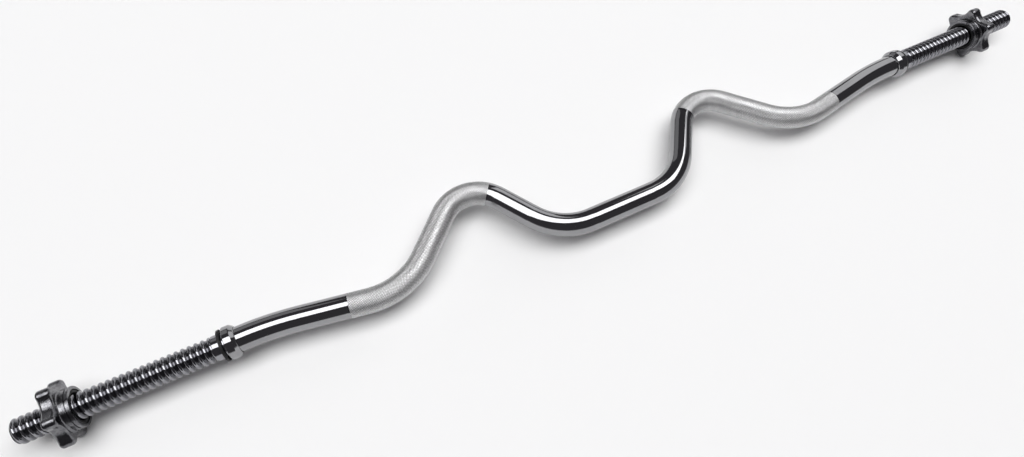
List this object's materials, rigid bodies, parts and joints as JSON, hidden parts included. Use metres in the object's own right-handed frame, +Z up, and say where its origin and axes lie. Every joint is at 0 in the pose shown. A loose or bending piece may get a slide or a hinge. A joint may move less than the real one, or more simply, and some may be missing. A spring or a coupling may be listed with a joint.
{
  "type": "ez curl bar",
  "caption": "Chromed zigzag curl bar with knurled angled grips, threaded sleeves for weight plates, fixed inner collars and spin-lock star nuts",
  "frame": {"origin": "on the floor, below the middle of the bar's outline, as the bar lies on its star nuts", "axes": "+X along the sleeves to the right end, +Y in the level bend plane towards the two peaks, +Z up"},
  "size_m": [1.194, 0.1062, 0.0552],
  "materials": {
    "polished_chrome": "mirror chrome plate",
    "thread_chrome": "chrome plate on rolled thread",
    "cast_chrome": "chrome plate on a grainy casting",
    "black_rubber": "matte moulded rubber",
    "spring_steel": "oiled spring steel"
  },
  "bodies": {
    "bar": {"bent_shaft": "polished_chrome", "left_threaded_sleeve": "thread_chrome", "left_inner_collar": "polished_chrome", "left_collar_pin": "spring_steel", "right_threaded_sleeve": "thread_chrome", "right_inner_collar": "polished_chrome", "right_collar_pin": "spring_steel"},
    "left_washer": {"left_washer": "black_rubber"},
    "left_nut_ring": {"left_nut_ring": "black_rubber"},
    "left_star_nut": {"left_star_nut": "cast_chrome"},
    "right_washer": {"right_washer": "black_rubber"},
    "right_nut_ring": {"right_nut_ring": "black_rubber"},
    "right_star_nut": {"right_star_nut": "cast_chrome"}
  },
  "joints": [
    {"name": "left_washer_slide", "type": "slide", "parent": "bar", "child": "left_washer", "axis": [1, 0, 0], "range_m": [0, 0.0022]},
    {"name": "left_nut_travel", "type": "slide", "parent": "bar", "child": "left_nut_ring", "axis": [1, 0, 0], "range_m": [-0.054, 0.1245]},
    {"name": "left_nut_spin", "type": "hinge", "parent": "left_nut_ring", "child": "left_star_nut", "pos_m": [-0.5555, -0.01078, 0.0276], "axis": [1, 0, 0], "range_deg": [-3240, 7470]},
    {"name": "right_washer_slide", "type": "slide", "parent": "bar", "child": "right_washer", "axis": [1, 0, 0], "range_m": [0, 0.002]},
    {"name": "right_nut_travel", "type": "slide", "parent": "bar", "child": "right_nut_ring", "axis": [1, 0, 0], "range_m": [-0.1035, 0.075]},
    {"name": "right_nut_spin", "type": "hinge", "parent": "right_nut_ring", "child": "right_star_nut", "pos_m": [0.5335, -0.01078, 0.0276], "axis": [1, 0, 0], "range_deg": [-6210, 4500]}
  ],
  "couplings": [
    {"joint": "left_nut_travel", "follows": "left_nut_spin", "m_per_rad": 0.00095493},
    {"joint": "right_nut_travel", "follows": "right_nut_spin", "m_per_rad": 0.00095493}
  ]
}
